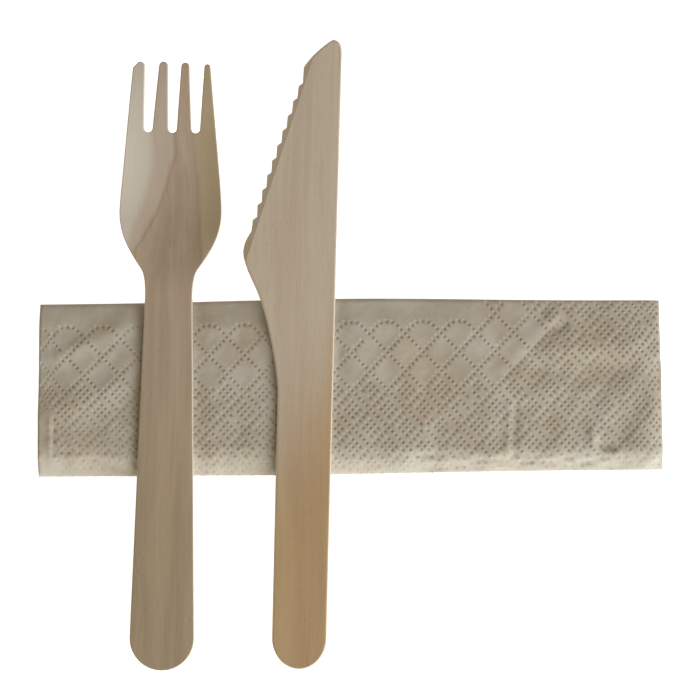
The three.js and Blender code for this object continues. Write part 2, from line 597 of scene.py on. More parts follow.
TISSUE = KraftTissue(
    name="kraft_tissue_two_ply",
    ground="9f9581",
    marks=(
        Mark((24.0, 15.0), "958468", 0.40, 0.46, 0.62, 2.0, angle=30.0),
        Mark((15.0, 9.0), "a9a596", 0.45, 0.48, 0.64, 2.0, angle=40.0),
        Mark((9.0, 9.0), "95886f", 0.45, 0.42, 0.62, 3.0),
        Mark((2.6, 2.2), "a79f8c", 0.35, 0.48, 0.66, 3.0, relief=0.4),
        Mark((0.4, 2.6), "8f846d", 0.22, 0.50, 0.74, 2.0, angle=35.0, relief=0.3),
        Mark((0.4, 2.6), "aea795", 0.20, 0.50, 0.74, 2.0, angle=-50.0, relief=0.3),
        Mark((0.45, 0.8), "7d6f58", 0.35, 0.70, 0.82, 1.0),
    ),
    roughness=0.95,
    ior=1.45,
    relief_mm=0.05,
    seed=1.3,
)


# ---- Laying a piece in the pack --------------------------------------------------------------


def lay_in_pack(bm: bmesh.types.BMesh, node: str, turn: float) -> Vector:
    """Turns a piece about Z, moves it to where the pack has it and makes it metres.

    Args:
        bm: The piece's mesh, in its own millimetre frame.
        node: The CAD node whose place it takes.
        turn: How far the piece is turned about Z, in degrees.

    Returns:
        Where the frame's origin comes to lie, in metres.
    """
    spin = Matrix.Rotation(math.radians(turn), 4, "Z")
    turned = [spin @ v.co for v in bm.verts]
    least = Vector(min(p[k] for p in turned) for k in range(3))
    most = Vector(max(p[k] for p in turned) for k in range(3))
    low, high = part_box(node)
    middle = (least + most) / 2
    origin = Vector(
        ((low[0] + high[0]) / 2 - middle.x * MM,
         (low[1] + high[1]) / 2 - middle.y * MM,
         low[2] - least.z * MM)
    )
    bm.transform(Matrix.Translation(origin) @ Matrix.Scale(MM, 4) @ spin)
    return origin


def finished_piece(
    bm: bmesh.types.BMesh, name: str, node: str, material: bpy.types.Material
) -> bpy.types.Object:
    """Makes a mesh a piece of the pack.

    Args:
        bm: The piece's mesh, in metres, where the pack has it. It is freed.
        name: The piece's name.
        node: The CAD node that it stands for.
        material: Its finish.

    Returns:
        The piece.
    """
    mesh = bpy.data.meshes.new(name)
    bm.to_mesh(mesh)
    bm.free()
    mesh.materials.append(material)
    piece = bpy.data.objects.new(name, mesh)
    bpy.context.scene.collection.objects.link(piece)
    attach(piece, "root")
    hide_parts(node)
    triangles = sum(len(polygon.vertices) - 2 for polygon in mesh.polygons)
    log.info("%s: %d faces, %d triangles", name, len(mesh.polygons), triangles)
    return piece


# ---- Wooden blanks ---------------------------------------------------------------------------


class Pen:
    """Draws a blank's outline as one chain of edges."""

    def __init__(self, x: float, y: float) -> None:
        """Puts the pen down."""
        self.bm = bmesh.new()
        self.tip = self.bm.verts.new((x, y, 0.0))

    def line(self, x: float, y: float) -> None:
        """Draws a straight line to a point."""
        made = bmesh.ops.extrude_vert_indiv(self.bm, verts=[self.tip])
        self.tip = made["verts"][0]
        self.tip.co = (x, y, 0.0)

    def curve(self, *controls: Point, steps: int = 8) -> None:
        """Draws a Bezier curve from where the pen is.

        Args:
            *controls: The curve's other control points. The last one is its end.
            steps: How many edges it gets.
        """
        start = (self.tip.co.x, self.tip.co.y)
        for k in range(1, steps + 1):
            self.line(*bezier([start, *controls], k / steps))

    def arc(self, x: float, y: float, degrees: float, steps: int) -> None:
        """Draws an arc about a centre, anticlockwise where degrees is above 0.

        Args:
            x: The centre's x.
            y: The centre's y.
            degrees: How far round it goes.
            steps: How many edges it gets.
        """
        made = bmesh.ops.spin(
            self.bm,
            geom=[self.tip],
            cent=(x, y, 0.0),
            axis=(0.0, 0.0, 1.0),
            angle=math.radians(degrees),
            steps=steps,
        )
        self.tip = made["geom_last"][0]

    def blank(self, thickness: float) -> bmesh.types.BMesh:
        """Closes the outline and cuts it from veneer.

        Args:
            thickness: The veneer's thickness.

        Returns:
            The blank, with its underside at height 0.
        """
        bm = self.bm
        bmesh.ops.remove_doubles(bm, verts=bm.verts[:], dist=1e-4)
        bmesh.ops.contextual_create(bm, geom=bm.edges[:])
        made = bmesh.ops.extrude_face_region(bm, geom=bm.faces[:])
        lifted = [item for item in made["geom"] if isinstance(item, bmesh.types.BMVert)]
        bmesh.ops.translate(bm, verts=lifted, vec=(0.0, 0.0, thickness))
        bmesh.ops.recalc_face_normals(bm, faces=bm.faces[:])
        return bm


def is_rim(edge: bmesh.types.BMEdge) -> bool:
    """Whether an edge lies between a broad face and the cut wall round it."""
    first, second = edge.verts
    length = max(edge.calc_length(), 1e-9)
    upright = abs(first.co.z - second.co.z) / length > 0.7
    return not upright and edge.calc_face_angle(0.0) > math.radians(45.0)


def round_rims(bm: bmesh.types.BMesh, edges: list[bmesh.types.BMEdge], radius: float) -> None:
    """Sands rim edges round.

    Args:
        bm: The blank.
        edges: The rims.
        radius: How far the sanding reaches from each edge.
    """
    bmesh.ops.bevel(
        bm,
        geom=edges,
        offset=radius,
        affect="EDGES",
        segments=3,
        profile=0.5,
        material=-1,
    )


@dataclass
class Fork:
    """A fork cut from birch veneer and pressed to form its bowl.

    Its own frame has x across and y from the handle's end to the tips.

    Attributes:
        thickness: The veneer's thickness.
        end_radius: Radius of the handle's end.
        neck: Where the handle's right side starts to curve outwards.
        shoulder: Where that curve meets the head's.
        widest: Where the head is widest.
        cheek: Where the head's side becomes the outer tine's.
        tines: Centre and radius of each tip, from right to left.
        slots: Centre and radius of the round end of each slot.
        cut_corner: The lower end of the first tine's slanting corner.
        bowl_start: Where along the fork the bowl starts to dip.
        bowl_deepest: Where it is deepest.
        bowl_depth: How deep it is there.
        tip_rise: How far the tips rise from there.
        flank_rise: How far the head's sides rise.
        flank_full: Where along the fork they have risen.
        flank_end: Where they would be flat again.
        flank_curve: Power of the distance from the middle with which they rise.
        net: Width and length of a cell of the pressed head.
        sanding: How far the sanding of the rims reaches.
        turn: How far the fork is turned about Z, in degrees.
    """

    thickness: float = 1.7
    end_radius: float = 8.5
    neck: Point = (6.2, 98.0)
    shoulder: Point = (7.3, 105.1)
    widest: Point = (13.45, 120.4)
    cheek: Point = (12.9, 128.6)
    tines: tuple[Triple, ...] = (
        (9.1, 158.3, 0.85),
        (3.3, 158.4, 1.1),
        (-2.4, 158.45, 1.2),
        (-8.45, 158.3, 1.2),
    )
    slots: tuple[Triple, ...] = (
        (6.2, 142.3, 1.12),
        (0.1, 142.3, 1.12),
        (-6.25, 142.3, 1.12),
    )
    cut_corner: Point = (-10.4, 157.8)
    bowl_start: float = 98.0
    bowl_deepest: float = 122.0
    bowl_depth: float = 2.6
    tip_rise: float = 4.2
    flank_rise: float = 1.9
    flank_full: float = 116.0
    flank_end: float = 190.0
    flank_curve: float = 2.4
    net: Point = (1.6, 1.5)
    sanding: float = 0.32
    turn: float = -1.15
    birch: PressedBirch = FORK_BIRCH

    def outline(self) -> Pen:
        """Draws the outline anticlockwise from the left of the handle's end."""
        pen = Pen(-self.end_radius, self.end_radius)
        pen.arc(0.0, self.end_radius, 180.0, steps=28)
        pen.line(*self.neck)
        pen.curve((self.neck[0], 103.1), self.shoulder)
        pen.curve((10.75, 110.0), (self.widest[0], 114.2), self.widest, steps=12)
        pen.curve((self.widest[0], 122.4), self.cheek)
        for number, (x, y, radius) in enumerate(self.tines):
            pen.line(x + radius, y)
            if number < len(self.slots):
                pen.arc(x, y, 180.0, steps=10)
                x, y, radius = self.slots[number]
                pen.line(x + radius, y)
                pen.arc(x, y, -180.0, steps=10)
            else:
                pen.arc(x, y, 120.0, steps=7)
        pen.line(*self.cut_corner)
        pen.line(-self.cheek[0], self.cheek[1])
        pen.curve((-self.widest[0], 122.4), (-self.widest[0], self.widest[1]))
        pen.curve(
            (-self.widest[0], 114.2),
            (-10.75, 110.0),
            (-self.shoulder[0], self.shoulder[1]),
            steps=12,
        )
        pen.curve((-self.neck[0], 103.1), (-self.neck[0], self.neck[1]))
        pen.line(-self.end_radius, self.end_radius)
        return pen

    def rise(self, x: float, y: float) -> float:
        """Height of the pressed blank above its flat handle."""
        tips = max(y_tine + radius for _, y_tine, radius in self.tines)
        dip = -self.bowl_depth * smoothstep(y, self.bowl_start, self.bowl_deepest)
        lift = self.tip_rise * smoothstep(y, self.bowl_deepest, tips)
        cupped = smoothstep(y, self.bowl_start, self.flank_full)
        cupped -= smoothstep(y, self.bowl_deepest, self.flank_end)
        out = abs(x / self.widest[0]) ** self.flank_curve
        return dip + lift + self.flank_rise * cupped * out

    def press(self, bm: bmesh.types.BMesh) -> None:
        """Cuts the head into a fine net and presses the bowl into it."""
        wide, long = self.net
        tips = max(y + radius for _, y, radius in self.tines)
        for row in range(math.ceil((tips - self.bowl_start) / long)):
            self.cut(bm, (0.0, self.bowl_start + row * long, 0.0), (0.0, 1.0, 0.0))
        # The net is a little beside the middle, so that no cut runs through a corner.
        beside = 0.03
        half = math.floor(self.widest[0] / wide)
        for column in range(-half, half + 1):
            self.cut(bm, (column * wide + beside, 0.0, 0.0), (1.0, 0.0, 0.0))
        for vert in bm.verts:
            vert.co.z += self.rise(vert.co.x, vert.co.y)

    def cut(self, bm: bmesh.types.BMesh, at: Triple, normal: Triple) -> None:
        """Cuts the head's faces along one plane.

        Args:
            bm: The blank.
            at: A point of the plane.
            normal: The plane's normal.
        """
        # The broad faces reach from the handle into the head, so their middle is lower down.
        lowest_middle = self.bowl_start - 60.0
        faces = [f for f in bm.faces if f.calc_center_bounds().y > lowest_middle]
        edges = {e for f in faces for e in f.edges}
        verts = {v for f in faces for v in f.verts}
        bmesh.ops.bisect_plane(
            bm, geom=[*faces, *edges, *verts], dist=1e-4, plane_co=at, plane_no=normal
        )

    def build(self) -> bpy.types.Object:
        """Makes the fork and lays it on the napkin."""
        bm = self.outline().blank(self.thickness)
        round_rims(bm, [e for e in bm.edges if is_rim(e)], self.sanding)
        # A narrow inset keeps the broad faces flat to the eye beside their rounded rims.
        broad = [f for f in bm.faces if abs(f.normal.z) > 0.99]
        bmesh.ops.inset_individual(bm, faces=broad, thickness=0.12)
        self.press(bm)
        for face in bm.faces:
            face.smooth = True
        origin = lay_in_pack(bm, "fork", self.turn)
        birch = self.birch.material(origin, self.turn)
        return finished_piece(bm, "birch_fork", "fork", birch)


@dataclass
class Knife:
    """A knife cut from birch veneer, ground to a serrated edge.

    Its own frame has x across, with the spine on +x, and y from the handle's end to the tip.

    Attributes:
        thickness: The veneer's thickness.
        spine: The spine's x.
        back: The x of the handle's other side.
        end_height: Length of the handle's rounded end.
        hollow: How far the spine bows inwards.
        teeth: How many teeth there are.
        first_notch: The notch nearest the tip.
        last_notch: The notch nearest the heel.
        tooth_step: From a notch to the point of its tooth.
        tooth_bow: How far the row of teeth bows outwards.
        ground_heel: Where the ground face's inner edge starts, at the heel.
        ground_tip: Where it ends, at the tip.
        ground_angle: The ground face's slope, in degrees.
        sanding: How far the sanding of the rims reaches.
        fine_sanding: The same beside the teeth.
        largest_rounded: The area of the largest face of a rounded rim.
        turn: How far the knife is turned about Z, in degrees.
    """

    thickness: float = 1.7
    spine: float = 7.05
    back: float = -7.4
    end_height: float = 8.2
    hollow: float = 0.12
    teeth: int = 10
    first_notch: Point = (-3.1, 153.8)
    last_notch: Point = (-14.2, 118.4)
    tooth_step: Point = (-1.1, -0.8)
    tooth_bow: float = 0.28
    ground_heel: Point = (-16.8, 106.7)
    ground_tip: Point = (-1.2, 158.4)
    ground_angle: float = 25.0
    sanding: float = 0.55
    fine_sanding: float = 0.1
    largest_rounded: float = 0.9
    turn: float = -1.5
    birch: PressedBirch = KNIFE_BIRCH

    def outline(self) -> Pen:
        """Draws the outline anticlockwise from the left of the handle's end."""
        middle, round_in = (self.spine + self.back) / 2, 0.552
        pen = Pen(self.back, self.end_height)
        low = self.end_height * (1.0 - round_in)
        left, right = (lerp(middle, side, round_in) for side in (self.back, self.spine))
        pen.curve((self.back, low), (left, 0.0), (middle, 0.0), steps=14)
        pen.curve((right, 0.0), (self.spine, low), (self.spine, self.end_height), steps=14)
        pen.curve((self.spine - 2 * self.hollow, 85.0), (self.spine, 161.7), steps=12)
        pen.curve((7.0, 165.5), (4.5, 165.4))
        pen.curve((3.1, 164.9), (-2.7, 159.6), (-3.0, 157.8), steps=10)
        for tooth in range(self.teeth):
            share = tooth / (self.teeth - 1)
            bow = 4 * self.tooth_bow * share * (1 - share)
            x = lerp(self.first_notch[0], self.last_notch[0], share) - bow
            y = lerp(self.first_notch[1], self.last_notch[1], share)
            pen.line(x, y)
            pen.line(x + self.tooth_step[0], y + self.tooth_step[1])
        pen.line(-15.6, 114.5)
        pen.curve((-16.6, 113.2), (-17.6, 111.2), (-17.6, 109.2))
        pen.curve((-17.6, 106.3), (-15.2, 102.0), (-13.7, 98.9))
        pen.curve((-11.6, 95.0), (-7.9, 80.0), (-7.6, 72.0), steps=14)
        pen.line(self.back, self.end_height)
        return pen

    def is_serrated(self, edge: bmesh.types.BMEdge) -> bool:
        """Whether an edge lies beside the ground face."""
        middle = (edge.verts[0].co + edge.verts[1].co) / 2
        share = (middle.y - self.ground_heel[1]) / (self.ground_tip[1] - self.ground_heel[1])
        inner = lerp(self.ground_heel[0], self.ground_tip[0], share)
        return 0.0 < share < 1.0 and middle.x < inner + 0.3

    def grind(self, bm: bmesh.types.BMesh) -> None:
        """Grinds the serrated edge thin, with one flat face."""
        heel = Vector((*self.ground_heel, self.thickness))
        along = (Vector((*self.ground_tip, self.thickness)) - heel).normalized()
        aside = Vector((-along.y, along.x, 0.0))
        slope = math.radians(self.ground_angle)
        normal = aside * math.sin(slope) + Vector((0.0, 0.0, math.cos(slope)))
        bmesh.ops.bisect_plane(
            bm,
            geom=[*bm.verts, *bm.edges, *bm.faces],
            dist=1e-5,
            plane_co=heel,
            plane_no=normal,
            clear_outer=True,
        )
        bmesh.ops.holes_fill(bm, edges=[e for e in bm.edges if e.is_boundary], sides=0)
        bmesh.ops.recalc_face_normals(bm, faces=bm.faces[:])

    def build(self) -> bpy.types.Object:
        """Makes the knife and lays it on the napkin."""
        bm = self.outline().blank(self.thickness)
        self.grind(bm)
        rims = [e for e in bm.edges if is_rim(e)]
        round_rims(bm, [e for e in rims if not self.is_serrated(e)], self.sanding)
        fine = [e for e in bm.edges if is_rim(e) and self.is_serrated(e)]
        round_rims(bm, fine, self.fine_sanding)
        # Rims are shaded round. The broad, ground and cut faces are flat, and larger.
        for face in bm.faces:
            face.smooth = face.calc_area() < self.largest_rounded
        origin = lay_in_pack(bm, "knife", self.turn)
        birch = self.birch.material(origin, self.turn)
        return finished_piece(bm, "birch_knife", "knife", birch)


# ---- Napkin ----------------------------------------------------------------------------------


@dataclass(frozen=True)
class Emboss:
    """Dots pressed into the tissue in diamonds, with a row of arches along the free edge.

    Dots stand on a net of steps, a to the right and b towards the free edge. Lines of dots run
    along both diagonals, and five dots make one side of a diamond.

    Attributes:
        step: Length of a step to the right and of a step up.
        stretch: How much longer each step to the right is than the one before.
        crossing: Where the two main lines of dots cross, on the pack.
        side: Steps along one side of a diamond.
        first_arch: The first arch's place, in sides from the crossing.
        last_arch: The last arch's place.
        arch_radius: Radius of an arch.
        arch_centre: Height of its centre above its feet.
        arch_spread: Half the angle that it spans, in degrees.
        arch_dots: Dots of one arch between its feet.
        missing: Share of the dots that did not print.
        reach: Half the length and half the width over which the tissue has stretched.
        left_hold: Along X, where the stretch sets in at the left end.
        right_hold: Along X, where it ends at the right end.
        free_hold: From the free edge, where it sets in.
        roll_hold: From the free edge, where it ends at the roll.
        lowest: The lowest place across the napkin that the stretch is worked out for.
    """

    step: Point = (0.942, 0.99)
    stretch: float = 0.00012
    crossing: Point = (14.44, 12.73)
    side: int = 5
    first_arch: int = -21
    last_arch: int = 3
    arch_radius: float = 4.05
    arch_centre: float = -0.915
    arch_spread: float = 46.3
    arch_dots: int = 7
    missing: float = 0.015
    reach: Point = (82.0, 22.6)
    left_hold: Point = (-82.5, -76.0)
    right_hold: Point = (71.0, 81.0)
    free_hold: Point = (0.0, 4.0)
    roll_hold: Point = (38.0, 50.0)
    lowest: float = -22.0

    def across(self, a: float) -> float:
        """Where step a lies across the napkin, in millimetres."""
        return self.crossing[0] + self.step[0] * a + self.stretch * a * a

    def drift(self, x: float, up: float, from_edge: float) -> Point:
        """How far the tissue's stretch has carried the dots along the napkin and across it.

        Args:
            x: Place along the folded napkin, from its middle.
            up: Place across it.
            from_edge: The same place, measured along the sheet from the free edge.

        Returns:
            Both distances in millimetres. They fade out where the leaf is held by its edges.
        """
        inside = smoothstep(x, *self.left_hold) * (1.0 - smoothstep(x, *self.right_hold))
        settled = smoothstep(from_edge, *self.free_hold)
        settled *= 1.0 - smoothstep(from_edge, *self.roll_hold)
        x, up = x / self.reach[0], max(up, self.lowest) / self.reach[1]
        # Low powers of both places, weighted by a least-squares fit to where the real dots lie.
        along = 0.16 + x * (0.78 - 0.45 * x + 0.43 * x * x) + up * (0.2 * x + 0.68 * x * x - 0.17)
        across = 0.5 * (x - 1.0) + 0.74 * x * x + up * (0.41 * x + 0.3 * x * x - 0.75)
        return along * inside, across * settled

    def is_filled(self, m: int, n: int) -> bool:
        """Whether the diamond m halves right of the crossing and n halves above it has dots."""
        return n <= -3 or m >= 8 or (m == 7 and n <= -2)

    def is_dot(self, a: int, b: int) -> bool:
        """Whether a dot is pressed at step (a, b).

        Args:
            a: Steps to the right of the crossing.
            b: Steps above it.

        Returns:
            True on a line of dots, and on the 3 by 3 dots inside a filled diamond.
        """
        i, j = (a + b) / 2, (a - b) / 2
        if (a + b) % 2 == 0 and (i % self.side == 0 or j % self.side == 0):
            return b <= 0 or a > 4 * self.side
        inside = (1.5, 2.5, 3.5)
        if i % self.side in inside and j % self.side in inside:
            column, row = i // self.side, j // self.side
            return self.is_filled(int(column + row) + 1, int(column - row))
        return False

    def arch_points(self) -> list[Point]:
        """Dots of all arches, in steps, left to right."""
        spread = math.radians(self.arch_spread)
        half = self.side * self.step[0]
        foot = (
            -self.arch_radius * math.sin(spread),
            self.arch_centre + self.arch_radius * math.cos(spread),
        )
        leg = math.hypot(half + foot[0], foot[1])
        total = 2 * leg + 2 * spread * self.arch_radius
        points = []
        for m in range(self.first_arch, self.last_arch + 1, 2):
            for k in range(1, self.arch_dots + 1):
                along = total * k / (self.arch_dots + 1)
                near = min(along, total - along)
                if near < leg:
                    x = lerp(-half, foot[0], near / leg)
                    y = lerp(0.0, foot[1], near / leg)
                else:
                    angle = spread - (near - leg) / self.arch_radius
                    x = -self.arch_radius * math.sin(angle)
                    y = self.arch_centre + self.arch_radius * math.cos(angle)
                x = x if along < total / 2 else -x
                points.append((m * self.side + x / self.step[0], y / self.step[1]))
        return points


@dataclass(frozen=True)
class Crease:
    """A soft ridge, or with a height below 0 a hollow, that handling has left in the napkin.

    Attributes:
        start: Where it starts, in the pack's millimetres.
        end: Where it ends.
        height: How high it stands above the sheet.
        width: Half its width at about a third of its height.
    """

    start: Point
    end: Point
    height: float
    width: float

    def at(self, x: float, y: float) -> float:
        """Its height at a point of the pack."""
        along = Vector((self.end[0] - self.start[0], self.end[1] - self.start[1]))
        from_start = Vector((x - self.start[0], y - self.start[1]))
        length = along.length
        share = min(max(from_start.dot(along) / (length * length), 0.0), 1.0)
        distance = (from_start - along * share).length
        # Further out it is too low to matter.
        if distance > 3.2 * self.width:
            return 0.0
        return self.height * math.exp(-((distance / self.width) ** 2))


CREASES = (
    # The left end: the plain margin's edge, and pulls that run up to the right.
    Crease((-77.6, 10.0), (-78.3, 5.0), -0.3, 0.4),
    Crease((-78.4, 1.6), (-77.9, -2.8), -0.35, 0.4),
    Crease((-78.0, -16.6), (-78.4, -26.0), -0.35, 0.4),
    Crease((-79.1, -17.0), (-79.3, -27.0), 0.28, 0.5),
    Crease((-78.0, -0.6), (-60.0, 7.3), 0.7, 2.2),
    Crease((-80.0, -16.5), (-62.0, -9.0), 0.8, 3.8),
    # Right of the middle: a pinch, a long pull below it and an upright pleat.
    Crease((13.0, 2.0), (21.0, 6.0), 0.35, 2.4),
    Crease((52.6, 9.8), (55.2, 7.2), 0.35, 0.9),
    Crease((54.0, 6.9), (56.2, 8.0), -0.6, 1.2),
    Crease((39.7, -3.3), (54.1, 11.1), 0.4, 1.7),
    Crease((41.5, -5.1), (55.5, 8.9), -0.4, 1.7),
    Crease((42.0, -13.0), (41.2, -26.0), 0.45, 0.8),
    Crease((43.5, -13.5), (42.7, -25.5), -0.5, 1.0),
    Crease((50.0, -4.6), (73.0, -3.4), -0.7, 3.4),
    Crease((52.0, 1.8), (74.0, 2.8), 0.7, 3.2),
    Crease((55.0, -1.6), (58.4, -3.0), 0.2, 1.4),
    Crease((56.6, -9.2), (58.4, -10.6), -0.25, 1.0),
    # The right end: a hollow with a raised rim, and the corner beside it.
    Crease((65.4, -23.6), (68.0, -24.2), -1.3, 1.35),
    Crease((63.4, -20.8), (64.6, -24.2), 0.8, 0.9),
    Crease((66.4, -26.4), (70.0, -26.0), 0.4, 0.9),
    Crease((69.5, -17.5), (72.5, -20.5), -0.25, 2.4),
    Crease((75.0, -25.0), (80.0, -14.0), 0.6, 3.6),
    Crease((76.4, -30.8), (82.4, -24.6), 0.35, 1.3),
    # The roll of the folded edge: the groove where it starts, its wavy crease and its wrinkles.
    Crease((-83.0, -25.4), (-22.0, -26.0), -0.42, 0.8),
    Crease((-6.0, -25.7), (31.0, -26.4), -0.42, 0.8),
    Crease((17.5, -29.6), (27.5, -29.7), -0.45, 0.7),
    Crease((28.5, -29.5), (36.5, -27.9), -0.45, 0.7),
    Crease((37.5, -27.8), (52.5, -28.2), -0.45, 0.7),
    Crease((53.5, -28.5), (58.0, -29.2), -0.45, 0.7),
    Crease((59.0, -29.1), (66.0, -27.4), -0.45, 0.7),
    Crease((-63.8, -26.0), (-57.0, -30.2), 0.4, 0.7),
    Crease((-69.5, -26.4), (-60.5, -30.6), -0.35, 0.8),
    Crease((17.2, -30.2), (22.0, -26.6), 0.25, 0.8),
)


@dataclass(frozen=True)
class Wear:
    """Where handling has flattened the embossing.

    A pair is where, in millimetres, a change starts and where it is full.

    Attributes:
        margin: Along X, where the plain margin of the left end gives way to dots.
        arches: Along Y, where the dots reach that end all the same.
        arches_share: How deep they are in that end.
        roll: Towards -Y, where the roll flattens the dots.
        roll_share: How much it flattens them in its left part and in its right part.
        roll_parts: Along X, where the one part becomes the other.
        edge: Towards -Y, where the folded edge flattens them.
        edge_share: How much it flattens them.
        grip_x: Towards -X, where a hand's grip has flattened them.
        grip_y: Towards -Y, where it has.
        grip_share: How much it has.
    """

    margin: Point = (-78.0, -76.0)
    arches: Point = (-8.0, -4.0)
    arches_share: float = 0.75
    roll: Point = (17.0, 21.5)
    roll_share: Point = (0.25, 0.65)
    roll_parts: Point = (5.0, 30.0)
    edge: Point = (22.5, 25.5)
    edge_share: float = 0.7
    grip_x: Point = (54.0, 64.0)
    grip_y: Point = (5.0, 14.0)
    grip_share: float = 0.4

    def strength(self, x: float, y: float) -> float:
        """How much of a dot's depth is left at a point of the leaf that shows, from 0 to 1."""
        pressed = max(smoothstep(x, *self.margin), self.arches_share * smoothstep(y, *self.arches))
        roll = lerp(*self.roll_share, smoothstep(x, *self.roll_parts)) * smoothstep(-y, *self.roll)
        edge = self.edge_share * smoothstep(-y, *self.edge)
        grip = self.grip_share * smoothstep(-x, *self.grip_x) * smoothstep(-y, *self.grip_y)
        return pressed * (1.0 - roll) * (1.0 - edge) * (1.0 - grip)


@dataclass(frozen=True)
class Slump:
    """How the whole stack sinks towards its edges, which nothing holds up.

    Lengths are in millimetres, and x and across are measured from the napkin's middle. A pair
    is where a change starts and where it is full, unless it says otherwise.

    Attributes:
        droop: How far the free edge sinks at the left end and at the right end.
        droop_x: Along x, from the one to the other.
        droop_across: Across, from the flat top to the free edge.
        roll_start: How far towards the folded edge the roll starts.
        roll_wider: How much sooner it starts in the right part.
        roll_wider_x: Along x, where it does.
        roll_wander: How far its start wanders, and over what length.
        roll_slope: How steep it becomes, and over what length.
        right_end: Where the right end starts to round off, and how sharply it does.
        left_end: Towards -x, where the left end thins out.
        left_thins: How far it does.
    """

    droop: Point = (2.6, 1.0)
    droop_x: Point = (-72.0, 25.0)
    droop_across: Point = (13.5, 25.5)
    roll_start: float = 18.1
    roll_wider: float = 0.5
    roll_wider_x: Point = (30.0, 45.0)
    roll_wander: Point = (1.3, 8.0)
    roll_slope: Point = (0.45, 0.8)
    right_end: Point = (78.0, 0.05)
    left_end: Point = (77.5, 82.0)
    left_thins: float = 0.2

    def at(self, x: float, across: float) -> float:
        """The sinking at a point, as a height that is never above 0."""
        droop = lerp(*self.droop, smoothstep(x, *self.droop_x))
        height = -droop * smoothstep(across, *self.droop_across)
        wander, length = self.roll_wander
        start = self.roll_start - self.roll_wider * smoothstep(x, *self.roll_wider_x)
        start += wander * noise.noise(Vector((x / length, 0.0, 5.0)))
        beyond = max(-across - start, 0.0)
        height -= self.roll_slope[0] * beyond * beyond / (beyond + self.roll_slope[1])
        height -= self.right_end[1] * max(x - self.right_end[0], 0.0) ** 2
        return height - self.left_thins * smoothstep(-x, *self.left_end)


@dataclass(frozen=True)
class Crumple:
    """Soft random waves in the leaf that shows, besides the creases.

    Lengths are in millimetres. The last number of a pair of size and height is the height.

    Attributes:
        waves: Size and height of the waves all over the leaf.
        fine: Size and height of the finest waves.
        plain: Along Y, where the plain band starts that has fewer fine waves.
        plain_end: Along X, where that band ends.
        plain_share: How much of the fine waves it lacks.
        pull: How high the pulls are, which run up to the right where the sheet was gripped.
        pull_size: How wide and how long a pull is.
        pull_lean: The direction of a pull along X and Y.
        pull_x: Along X, where the pulls start.
        wrinkle_size: How long and how wide a wrinkle of the roll is.
        wrinkle: How high the wrinkles are in the left part, and how much higher in the right.
        wrinkle_y: Along Y, from the roll to the flat top.
        wrinkle_x: Along X, from the left part to the right part.
        creases: The creases, which lie where hands have left them.
    """

    waves: tuple[Point, ...] = ((14.0, 0.50), (6.5, 0.34))
    fine: Point = (2.6, 0.16)
    plain: Point = (8.0, 10.0)
    plain_end: Point = (30.0, 34.0)
    plain_share: float = 0.8
    pull: float = 0.36
    pull_size: Point = (5.0, 16.0)
    pull_lean: Point = (0.62, 0.78)
    pull_x: Point = (28.0, 45.0)
    wrinkle_size: Point = (5.0, 1.0)
    wrinkle: Point = (0.25, 0.5)
    wrinkle_y: Point = (-26.5, -23.5)
    wrinkle_x: Point = (8.0, 25.0)
    creases: tuple[Crease, ...] = CREASES

    def at(self, x: float, y: float) -> float:
        """How far the leaf stands above the even stack at a point of the pack."""
        height = sum(crease.at(x, y) for crease in self.creases)
        place = Vector((x, y, 3.0))
        for size, high in self.waves:
            height += high * noise.noise(place / size)
        wide, long = self.pull_size
        aside, up = self.pull_lean
        pulled = Vector(((up * x - aside * y) / wide, (aside * x + up * y) / long, 8.0))
        height += self.pull * smoothstep(x, *self.pull_x) * noise.noise(pulled)
        wrinkled = 1.0 - smoothstep(y, *self.wrinkle_y)
        wrinkled *= self.wrinkle[0] + self.wrinkle[1] * smoothstep(x, *self.wrinkle_x)
        long, wide = self.wrinkle_size
        height += wrinkled * noise.noise(Vector((x / long, y / wide, 11.0)))
        plain = smoothstep(y, *self.plain) * (1.0 - smoothstep(x, *self.plain_end))
        size, high = self.fine
        return height + high * (1.0 - self.plain_share * plain) * noise.noise(place / size)


